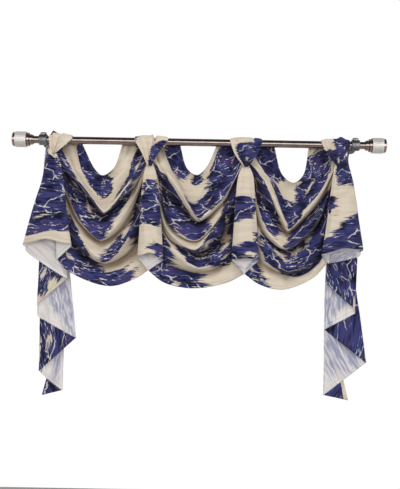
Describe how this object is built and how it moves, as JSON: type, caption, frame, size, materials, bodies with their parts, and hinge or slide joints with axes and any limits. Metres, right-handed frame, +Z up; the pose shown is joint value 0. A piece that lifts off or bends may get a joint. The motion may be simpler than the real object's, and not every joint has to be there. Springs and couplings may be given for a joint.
{
  "type": "swag and tail drape on a curtain rod",
  "caption": "Swag and tail drape of printed cotton: gathered swags, fluted horns and stepped tails looped over a metal curtain rod with finials and wall brackets",
  "frame": {"origin": "middle of the left wall plate's back face, where it meets the wall", "axes": "+X along the rod from left to right, +Y from the room towards the wall, +Z up"},
  "size_m": [1.118, 0.1476, 0.7975],
  "materials": {
    "cloth": "plain-weave printed cotton, navy feathered ikat motifs on cream, pale reverse",
    "tube": "brushed bronze-nickel tube",
    "finial": "satin nickel, knurled barrel",
    "bracket": "dark grey satin metal"
  },
  "bodies": {
    "root": {"rod": "tube", "finial_left": "finial", "finial_right": "finial", "bracket_left": "bracket", "bracket_right": "bracket", "loop_left_end": "cloth", "loop_left_mid": "cloth", "loop_right_mid": "cloth", "loop_right_end": "cloth", "swag_left": "cloth", "swag_middle": "cloth", "swag_right": "cloth", "horn_left_end": "cloth", "horn_left_mid": "cloth", "horn_right_mid": "cloth", "horn_right_end": "cloth", "tail_left": "cloth", "tail_right": "cloth"}
  },
  "joints": []
}
